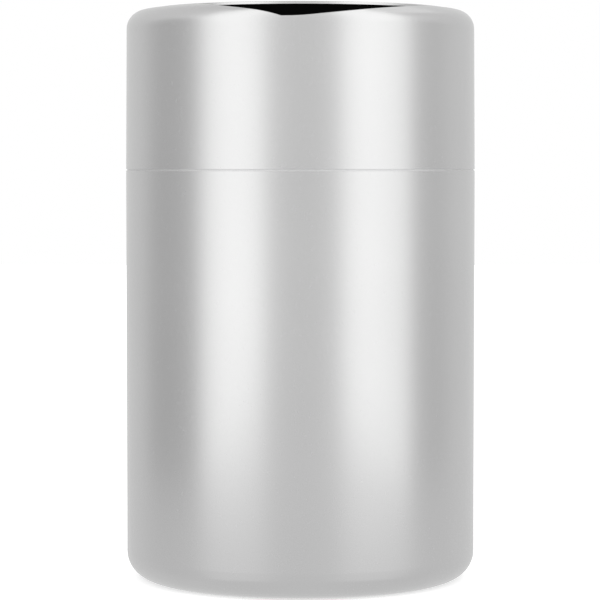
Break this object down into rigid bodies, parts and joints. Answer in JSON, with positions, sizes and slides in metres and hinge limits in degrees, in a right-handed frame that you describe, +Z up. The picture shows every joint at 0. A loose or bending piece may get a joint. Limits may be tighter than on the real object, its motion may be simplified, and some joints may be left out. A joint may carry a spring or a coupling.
{
  "type": "vacuum seal canister",
  "caption": "Tall round vacuum seal canister: satin metal shells over a black cup with a sealed neck, and a deep lid with a thumb scoop and a vent button.",
  "frame": {"origin": "middle of the base, on the surface that the canister stands on", "axes": "+Z up along the canister's axis; the thumb scoop in the lid faces -Y"},
  "size_m": [0.124, 0.124, 0.2022],
  "materials": {
    "satin_metal": "satin",
    "black_plastic": "matte",
    "button_plastic": "satin",
    "seal_rubber": "matte",
    "spring_steel": "satin"
  },
  "bodies": {
    "canister": {"canister_shell": "satin_metal", "inner_cup": "black_plastic", "neck_seal": "seal_rubber"},
    "lid": {"lid_shell": "satin_metal", "inner_cap": "black_plastic", "top_insert": "black_plastic", "bezel_ring": "satin_metal", "return_spring": "spring_steel"},
    "button": {"push_button": "button_plastic", "valve_stem": "button_plastic", "valve_disc": "seal_rubber", "valve_washer": "spring_steel", "valve_screw": "spring_steel"}
  },
  "joints": [
    {"name": "lid_lift", "type": "slide", "parent": "canister", "child": "lid", "axis": [0, 0, 1], "range_m": [0, 0.16]},
    {"name": "button_press", "type": "slide", "parent": "lid", "child": "button", "axis": [0, 0, -1], "range_m": [0, 0.0035], "stiffness_N_per_m": 1500, "springref_m": -0.002, "deforming": ["return_spring"]}
  ]
}
